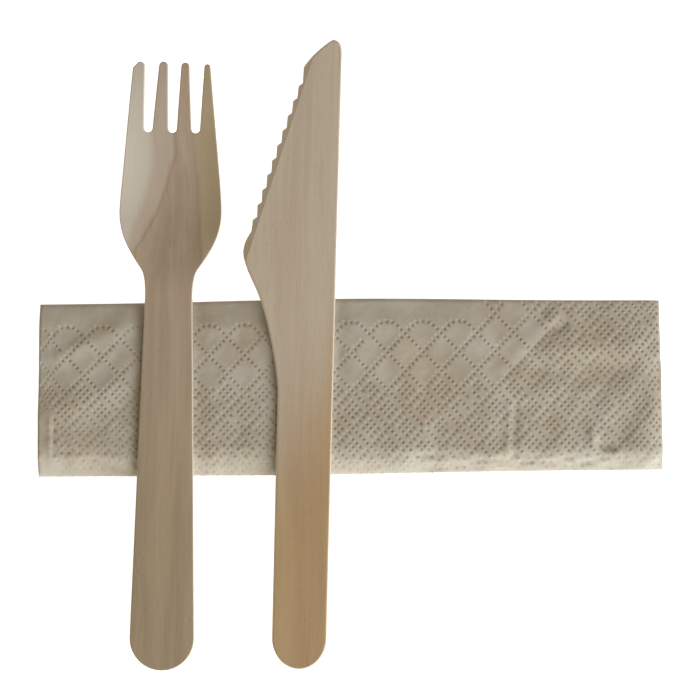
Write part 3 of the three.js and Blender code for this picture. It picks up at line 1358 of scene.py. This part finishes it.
@dataclass
class Napkin:
    """A square sheet of two-ply tissue, folded in half along X and then three times along Y.

    The sheet starts flat, as a net of steps (a, b) with the embossing pressed into it, and is
    then folded: the first fold lays two leaves together, and the strip that they make is folded
    three times more. Its own frame has x along the strip's folds and y across them.

    Attributes:
        sheet: Side of the flat sheet.
        leaf: Thickness of the two plies.
        fold_radius: Radius of the first fold, to the middle of the leaf.
        pitch: How far the pairs of leaves are apart.
        order: The place in the stack of each eighth of the strip, from the free end on.
        set_back: How far the inner folds of the far edge are set back from it.
        softness: How far the largest fold bulges beyond a half circle.
        turn: How far the napkin is turned about Z, in degrees.
        left: The net's first column.
        right: The column where the first fold starts.
        free_edge: The row of the free edge.
        last_row: The last row of the leaf that shows.
        flat_rows_end: The row past which there are rows for every step.
        coarse: Steps from one coarse row or column to the next.
        dot_radius: Radius of a dot's rim, in steps.
        dot_wall: Width of its sloping wall, in steps.
        dot_depth: How far its floor is pressed in.
        pillow: How far the tissue swells between dots.
        seed: Chooses the dots that are missing and each one's depth.
        taper: By how much the far edge is shorter than the near one.
        bends: How far along Y the near edge's left part and the far edge's middle are moved.
        near_bend_x: Along X, where the near edge's move fades out.
        far_bend: From the middle, how far the far edge's move reaches.
        press: How far the tissue dips beside the cutlery, and how far from the cutlery's
            outline the dip is still full and has ended.
        under_load: Height of the leaf below the cutlery over the even stack, and how far
            beyond the cutlery's outline it has left that height.
        slack: How far the leaves below sink at the right end, and how much further elsewhere,
            so that they stay hidden under the leaf that shows.
        slack_x: Along X, where the one becomes the other.
    """

    sheet: float = 330.0
    leaf: float = 0.23
    fold_radius: float = 0.14
    pitch: float = 0.575
    order: tuple[int, ...] = (8, 1, 4, 5, 6, 3, 2, 7)
    set_back: float = 4.1
    softness: float = 0.6
    turn: float = 0.4
    left: int = -104
    right: int = 72
    free_edge: int = 8
    last_row: int = -44
    flat_rows_end: int = -32
    coarse: int = 4
    dot_radius: float = 0.42
    dot_wall: float = 0.13
    dot_depth: float = 0.11
    pillow: float = 0.21
    seed: int = 7
    emboss: Emboss = Emboss()
    taper: float = 0.0116
    bends: Point = (-0.72, 1.0)
    near_bend_x: Point = (-30.0, 65.0)
    far_bend: float = 45.0
    press: Triple = (0.5, 0.8, 4.5)
    under_load: Point = (0.05, 0.6)
    slack: Point = (0.1, 1.0)
    slack_x: Point = (76.0, 81.0)
    wear: Wear = Wear()
    slump: Slump = Slump()
    crumple: Crumple = Crumple()
    tissue: KraftTissue = TISSUE

    def __post_init__(self) -> None:
        """Works out the folded strip's line and the net's columns and rows."""
        self.height = self.height_of(len(self.order)) + self.height_of(1)
        self.half_strip = self.free_eighth() / 2
        self.line = self.strip_line()
        self.columns = self.net_columns()
        self.rows = self.net_rows()
        self.rows_up = sorted(self.rows)

    # The folded strip.

    def height_of(self, place: int) -> float:
        """Height of the middle of a pair of leaves, by its place in the stack."""
        return (place - 1) * self.pitch + self.fold_radius + self.leaf / 2

    def bulge(self, radius: float) -> float:
        """How much further than a half circle a fold reaches out."""
        return 1.0 + self.softness * radius / (self.height / 2)

    def free_eighth(self) -> float:
        """Flat length of an eighth that has a free end."""
        heights = [self.height_of(place) for place in self.order]
        radii = [abs(b - a) / 2 for a, b in zip(heights, heights[1:])]
        rounded = sum(math.pi * r * math.sqrt((1 + self.bulge(r) ** 2) / 2) for r in radii)
        inner = len(self.order) - 2
        return (self.sheet - rounded + inner * self.set_back) / len(self.order)

    def strip_line(self) -> list[tuple[float, float, float, float, float]]:
        """Middle line of the folded strip.

        Returns:
            For each point the length along the sheet, y, z, and the y and z of the outward normal.
        """
        points: list[tuple[float, float, float, float]] = []
        bend_points = 24
        far = self.half_strip
        for i, place in enumerate(self.order):
            run = 1.0 if i % 2 else -1.0
            z = self.height_of(place)
            is_end = i in (0, len(self.order) - 1)
            far_end = far if is_end else far - self.set_back
            start, stop = (far_end, -far) if run < 0 else (-far, far_end)
            points += [(start, z, 0.0, -run), (stop, z, 0.0, -run)]
            if i == len(self.order) - 1:
                break
            radius = (self.height_of(self.order[i + 1]) - z) / 2
            way = math.copysign(1.0, radius)
            reach = abs(radius)
            long = self.bulge(reach)
            for k in range(1, bend_points):
                angle = math.pi * k / bend_points
                out, up = run * math.sin(angle), -way * math.cos(angle)
                normal = Vector((out, up * long)).normalized() * (run * way)
                y = stop + out * long * reach
                points.append((y, z + radius + up * reach, normal.x, normal.y))
        line = [(0.0, *points[0])]
        for before, after in zip(points, points[1:]):
            step = math.hypot(after[0] - before[0], after[1] - before[1])
            line.append((line[-1][0] + step, *after))
        return line

    # The flat net. Columns and rows are numbered in steps, and each list gives millimetres.

    def net_columns(self) -> list[tuple[float, float]]:
        """Columns of the net.

        Returns:
            Each column's number, and how far it is along the sheet from the strip's left end.
        """
        half = self.sheet / 4
        start = half - self.fold_radius
        left = start + math.pi * self.fold_radius / 2 - self.sheet / 2
        columns = [(self.left, left)]
        for a in range(self.left + self.coarse, self.right, self.coarse):
            columns.append((a, self.emboss.across(a)))
        arc, rest = math.pi * self.fold_radius, start - left
        bend, below = 4, 24
        columns += [(self.right + k, start + arc * k / bend) for k in range(bend + 1)]
        last = self.right + bend
        columns += [(last + k, start + arc + rest * k / below) for k in range(1, below + 1)]
        return columns

    def net_rows(self) -> list[tuple[float, float]]:
        """Rows of the net.

        Returns:
            Each row's number, and how far it is along the folded strip from the free end.
        """
        start = self.half_strip - self.emboss.crossing[1]
        numbers = [*range(self.free_edge, self.flat_rows_end, -self.coarse)]
        numbers += range(self.flat_rows_end, self.last_row - 1, -1)
        rows = [(b, start - self.emboss.step[1] * b) for b in numbers]
        rows[0] = (self.free_edge, 0.0)
        ends = [p[0] for k, p in enumerate(self.line) if self.is_fold_end(k)]
        number = self.last_row
        reached = rows[-1][1]
        rows_in_fold, rows_in_leaf = 6, 7
        # The last stretch that the rows have entered is the one after the first fold.
        for k in range(1, len(ends) - 1):
            count = rows_in_leaf if k % 2 else rows_in_fold
            low, high = max(ends[k], reached), ends[k + 1]
            if k == 1:
                low = reached
            for j in range(1, count + 1):
                number -= 1
                rows.append((number, lerp(low, high, j / count)))
        return rows

    def is_fold_end(self, k: int) -> bool:
        """Whether a point of the strip's line is where a fold starts or ends."""
        upright = abs(self.line[k][4]) > 0.9999
        return k > 0 and upright

    @staticmethod
    def between(table: list[tuple[float, ...]], value: float) -> list[float]:
        """Row of a table at a value of its first column, which grows, by straight lines."""
        keys = [row[0] for row in table]
        k = min(max(bisect_right(keys, value) - 1, 0), len(table) - 2)
        low, high = table[k], table[k + 1]
        share = (value - low[0]) / (high[0] - low[0])
        return [lerp(a, b, share) for a, b in zip(low, high)]

    def flat_net(self) -> bmesh.types.BMesh:
        """Makes the flat sheet as a coarse slab on whole steps, from height 0 to 1."""
        bm = bmesh.new()
        # The "pressed" attribute also carries the painted shade of the dots' hollows.
        bm.verts.layers.float.new("pressed")
        shown = bm.verts.layers.float.new("shown")
        wide, long = len(self.columns) - 1, len(self.rows) - 1
        bmesh.ops.create_grid(bm, x_segments=wide, y_segments=long, size=1.0)
        for vert in bm.verts:
            column = round((vert.co.x + 1) / 2 * wide)
            row = round((vert.co.y + 1) / 2 * long)
            vert.co = (self.columns[column][0], self.rows[long - row][0], 0.0)
            vert[shown] = float(self.in_patch(vert))
        made = bmesh.ops.extrude_face_region(bm, geom=bm.faces[:])
        lifted = [item for item in made["geom"] if isinstance(item, bmesh.types.BMVert)]
        bmesh.ops.translate(bm, verts=lifted, vec=(0.0, 0.0, 1.0))
        bmesh.ops.recalc_face_normals(bm, faces=bm.faces[:])
        return bm

    def in_patch(self, vert: bmesh.types.BMVert) -> bool:
        """Whether a vertex of the flat net lies in the leaf that shows."""
        return vert.co.x <= self.right and vert.co.y >= self.last_row

    def refine(self, bm: bmesh.types.BMesh) -> None:
        """Cuts the leaf that shows into single steps."""
        edges = []
        for edge in bm.edges:
            first, second = edge.verts
            if self.in_patch(first) and self.in_patch(second):
                upright = abs(first.co.z - second.co.z) > 0.5
                runs_across = abs(first.co.x - second.co.x) > 0.5
                on_flat = min(first.co.y, second.co.y) >= self.flat_rows_end
                if not upright and (runs_across or on_flat):
                    edges.append(edge)
        bmesh.ops.subdivide_edges(
            bm, edges=edges, cuts=self.coarse - 1, use_grid_fill=True, use_only_quads=False
        )

    def strength_at(self, vert: bmesh.types.BMVert) -> float:
        """How deep dots are, from 0 to 1, at a vertex of the flat net."""
        x = self.between(self.columns, vert.co.x)[1]
        return self.wear.strength(x, self.emboss.crossing[1] + self.emboss.step[1] * vert.co.y)

    def choose_dots(
        self, places: dict[tuple[int, int], bmesh.types.BMVert], chance: random.Random
    ) -> dict[bmesh.types.BMVert, None]:
        """Chooses the middles of the dots, and moves those of the arches into place.

        Args:
            places: The upper vertices of the leaf that shows, by column and row.
            chance: Draws the dots that are missing.

        Returns:
            The chosen vertices, in order.
        """
        dots: dict[bmesh.types.BMVert, None] = {}
        for (a, b), vert in sorted(places.items()):
            inner = self.left < a < self.right and self.last_row < b < self.free_edge
            if inner and self.emboss.is_dot(a, b) and chance.random() > self.emboss.missing:
                dots[vert] = None
        for a, b in self.emboss.arch_points():
            vert = places.get((round(a), round(b)))
            is_clear = a > self.left + 0.6
            if vert and is_clear and chance.random() > self.emboss.missing:
                vert.co.x, vert.co.y = a, b
                dots[vert] = None
        return dots

    def press_dots(self, bm: bmesh.types.BMesh) -> None:
        """Presses the embossing into the leaf that shows."""
        chance = random.Random(self.seed)
        pressed = bm.verts.layers.float["pressed"]
        places = {}
        for vert in bm.verts:
            if vert.co.z > 0.5 and self.in_patch(vert):
                places[(round(vert.co.x), round(vert.co.y))] = vert
        dots = self.choose_dots(places, chance)
        # The tissue between close dots swells, and more so the more dots are beside it.
        raised = {}
        for vert in places.values():
            if vert not in dots:
                near = sum(edge.other_vert(vert) in dots for edge in vert.link_edges)
                raised[vert] = self.strength_at(vert) * min(near / 3, 1.0)
        # No two dots are pressed quite alike.
        centres = []
        for vert in dots:
            strength = self.strength_at(vert) * (0.85 + 0.3 * chance.random())
            centres.append((vert.co.copy(), strength))
        made = bmesh.ops.bevel(
            bm,
            geom=list(dots),
            offset=self.dot_radius,
            affect="VERTICES",
            segments=2,
            profile=0.5,
            material=-1,
        )
        tree = KDTree(len(made["verts"]))
        for number, vert in enumerate(made["verts"]):
            tree.insert(vert.co, number)
        tree.balance()
        middles = {}
        for centre, strength in centres:
            vert = made["verts"][tree.find(centre)[1]]
            vert.co = centre
            middles[vert] = strength
        for vert, strength in middles.items():
            self.round_dot(vert, strength, pressed)
        floors = [face for vert in middles for face in vert.link_faces]
        bmesh.ops.inset_region(
            bm, faces=floors, thickness=self.dot_wall, use_even_offset=True
        )
        # A dot's floor is slightly hollow, and takes the painted shade of its hollow.
        for vert, strength in middles.items():
            depth = strength * self.dot_depth / self.leaf
            for face in vert.link_faces:
                for other in face.verts:
                    other.co.z = 1.0 - (depth if other is vert else 0.85 * depth)
                    other[pressed] = strength
        for vert, near in raised.items():
            vert.co.z += self.pillow / self.leaf * near

    def round_dot(
        self, middle: bmesh.types.BMVert, strength: float, pressed: bmesh.types.BMLayerItem
    ) -> None:
        """Moves the rim of a dot onto a circle, half as high as the swollen tissue.

        Args:
            middle: The vertex in the middle of the dot.
            strength: How deep the dot is, from 0 to 1.
            pressed: The attribute that darkens a dot's floor and rim, partly as painted shade in
                the hollow.
        """
        rim = {vert for face in middle.link_faces for vert in face.verts if vert is not middle}
        for vert in rim:
            away = (vert.co.xy - middle.co.xy).normalized() * self.dot_radius
            vert.co.xy = middle.co.xy + away
            vert.co.z = 1.0 + 0.5 * strength * self.pillow / self.leaf
            # The rim takes a little of the painted shade of the hollow.
            vert[pressed] = 0.3 * strength

    # From the flat net to the folded napkin.

    def fold(self, bm: bmesh.types.BMesh) -> None:
        """Folds the flat net into the napkin's stack."""
        start = self.sheet / 4 - self.fold_radius
        arc = math.pi * self.fold_radius
        roll = 12.0
        for vert in bm.verts:
            w = self.between(self.columns, vert.co.x)[1]
            v = self.between(self.rows_up, vert.co.y)[1]
            reach = self.fold_radius + (vert.co.z - 0.5) * self.leaf
            turned = min(max((w - start) / self.fold_radius, 0.0), math.pi)
            beyond = max(w - start - arc, 0.0)
            x = min(w, start) - beyond + reach * math.sin(turned)
            lift = reach * math.cos(turned)
            # Only the leaf that shows, and the roll that it ends in, have stretched.
            if v < self.half_strip * 2 + roll and turned == 0.0:
                along, across = self.emboss.drift(x, self.half_strip - v, v)
                v -= across
                x += along
            _, y, z, side, rise = self.between(self.line, v)
            normal = Vector((side, rise)).normalized()
            vert.co = (x, y + normal.x * lift, z + normal.y * lift)
        self.skew(bm)

    def skew(self, bm: bmesh.types.BMesh) -> None:
        """Gives the stack's outline the slight bends and taper of careless folding."""
        largest_bulge = 3.0
        near, far = -self.half_strip - largest_bulge, self.half_strip
        for vert in bm.verts:
            x, y = vert.co.xy
            share = (y - near) / (far - near)
            near_bend = self.bends[0] * (1.0 - smoothstep(x, *self.near_bend_x))
            far_bend = self.bends[1] * math.exp(-((x / self.far_bend) ** 2))
            vert.co.x = x * (1.0 - self.taper * share)
            vert.co.y = y + lerp(near_bend, far_bend, share)

    def settle(self, bm: bmesh.types.BMesh, origin: Vector, loads: list[BVHTree]) -> None:
        """Gives the laid stack its slump, and the leaf that shows its creases and waves.

        Args:
            bm: The napkin, in metres, where the pack has it.
            origin: Where its own frame's origin lies, in metres.
            loads: What lies on it, in metres.
        """
        shown = bm.verts.layers.float["shown"]
        dip, near, far = self.press
        height, reach = self.under_load
        for vert in bm.verts:
            x, y, z = (value / MM for value in vert.co)
            change = -self.slack[0] - self.slack[1] * (1.0 - smoothstep(x, *self.slack_x))
            if vert[shown]:
                change = self.crumple.at(x, y)
                for load in loads:
                    over = load.find_nearest(vert.co)[0]
                    apart = (over.xy - vert.co.xy).length / MM
                    change -= dip * (1.0 - smoothstep(apart, near, far))
                    change = lerp(height, change, smoothstep(apart, 0.0, reach))
            change += self.slump.at(x, y - origin.y / MM)
            vert.co.z = z * (1.0 + change / self.height) * MM

    def build(self, cutlery: list[bpy.types.Object]) -> bpy.types.Object:
        """Makes the napkin, folds it and lays it under the cutlery.

        Args:
            cutlery: What lies on it.

        Returns:
            The napkin.
        """
        depsgraph = bpy.context.evaluated_depsgraph_get()
        loads = [BVHTree.FromObject(piece, depsgraph) for piece in cutlery]
        bm = self.flat_net()
        self.refine(bm)
        self.press_dots(bm)
        self.fold(bm)
        bmesh.ops.recalc_face_normals(bm, faces=bm.faces[:])
        origin = lay_in_pack(bm, "napkin", self.turn)
        self.settle(bm, origin, loads)
        for face in bm.faces:
            face.smooth = True
        piece = finished_piece(
            bm, "tissue_napkin", "napkin", self.tissue.material()
        )
        return piece


# ---- Studio ----------------------------------------------------------------------------------


@dataclass
class Studio:
    """A pale table, one large soft lamp low on the right near the handles, and a bright room.

    Attributes:
        view_mm: Width that the camera sees, at the level of the cutlery.
        view_centre: The point of the table that it looks down on, in millimetres.
        view_level: Height of that level, in metres.
        camera_height: Its height above the table, in metres.
        lamp_azimuth: The lamp's direction, in degrees round from +X.
        lamp_height: The lamp's height over the horizon, in degrees.
        lamp_distance: How far away the lamp is, in metres.
        lamp_size: The lamp's diameter, in metres.
        lamp_power: Its power, in watts.
        lamp_tone: Its sRGB colour.
        room_light: Strength of the room's light.
        room_tone: Its sRGB colour.
        table_glow: How much the table top glows, so that it stays pale round the pack.
    """

    view_mm: float = 183.7
    view_centre: Point = (-0.2, 1.37)
    view_level: float = 0.006
    camera_height: float = 0.6
    lamp_azimuth: float = -40.0
    lamp_height: float = 31.0
    lamp_distance: float = 0.95
    lamp_size: float = 1.6
    lamp_power: float = 24.6
    lamp_tone: str = "e6eefc"
    room_light: float = 0.38
    room_tone: str = "ffeed6"
    table_glow: float = 0.75

    def camera(self) -> None:
        """Makes the camera, straight above the pack."""
        data = bpy.data.cameras.new("camera")
        reach = self.camera_height - self.view_level
        data.angle = 2 * math.atan(self.view_mm * MM / 2 / reach)
        data.clip_start, data.clip_end = 0.01, 10.0
        camera = bpy.data.objects.new("camera", data)
        camera.location = (self.view_centre[0] * MM, self.view_centre[1] * MM, self.camera_height)
        bpy.context.scene.collection.objects.link(camera)
        bpy.context.scene.camera = camera

    def table(self) -> None:
        """Makes the table top."""
        material = bpy.data.materials.new("white_matt_laminate")
        material.use_nodes = True
        shader = material.node_tree.nodes["Principled BSDF"]
        place = add_node(material, "TexCoord")
        # Pressed laminate is even, with a cloud of tone that is too faint to draw the eye.
        cloud = add_node(material, "TexNoise", {"Vector": place.outputs["Object"], "Scale": 12.0})
        tone = add_node(
            material, "Mix", {0: cloud, 6: linear("f7f7f5"), 7: linear("fafaf9")}, data_type="RGBA"
        )
        material.node_tree.links.new(output_of(tone), shader.inputs["Base Color"])
        shader.inputs["Roughness"].default_value = 0.8
        shader.inputs["Emission Color"].default_value = linear("ffffff")
        shader.inputs["Emission Strength"].default_value = self.table_glow
        bm = bmesh.new()
        bmesh.ops.create_grid(bm, x_segments=1, y_segments=1, size=2.0)
        mesh = bpy.data.meshes.new("table_top")
        bm.to_mesh(mesh)
        bm.free()
        mesh.materials.append(material)
        table = bpy.data.objects.new("table_top", mesh)
        bpy.context.scene.collection.objects.link(table)

    def lights(self) -> None:
        """Makes the lamp and the light of the room."""
        data = bpy.data.lights.new("soft_lamp", "AREA")
        data.shape = "DISK"
        data.size = self.lamp_size
        data.energy = self.lamp_power
        data.color = linear(self.lamp_tone)[:3]
        lamp = bpy.data.objects.new("soft_lamp", data)
        azimuth, height = math.radians(self.lamp_azimuth), math.radians(self.lamp_height)
        towards = Vector(
            (math.cos(azimuth) * math.cos(height), math.sin(azimuth) * math.cos(height),
             math.sin(height))
        )
        lamp.location = towards * self.lamp_distance
        lamp.rotation_euler = towards.to_track_quat("Z", "Y").to_euler()
        bpy.context.scene.collection.objects.link(lamp)
        world = bpy.data.worlds.new("bright_room")
        world.use_nodes = True
        back = world.node_tree.nodes["Background"]
        back.inputs["Color"].default_value = linear(self.room_tone)
        back.inputs["Strength"].default_value = self.room_light
        bpy.context.scene.world = world

    def build(self) -> None:
        """Sets up the whole studio."""
        self.camera()
        self.table()
        self.lights()
        bpy.context.scene.view_settings.view_transform = "Standard"


def main() -> None:
    """Builds the pack in order."""
    logging.basicConfig(level=logging.INFO, format="%(name)s: %(message)s")
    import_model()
    Studio().build()
    cutlery = [Fork().build(), Knife().build()]
    Napkin().build(cutlery)


if __name__ == "__main__":
    main()
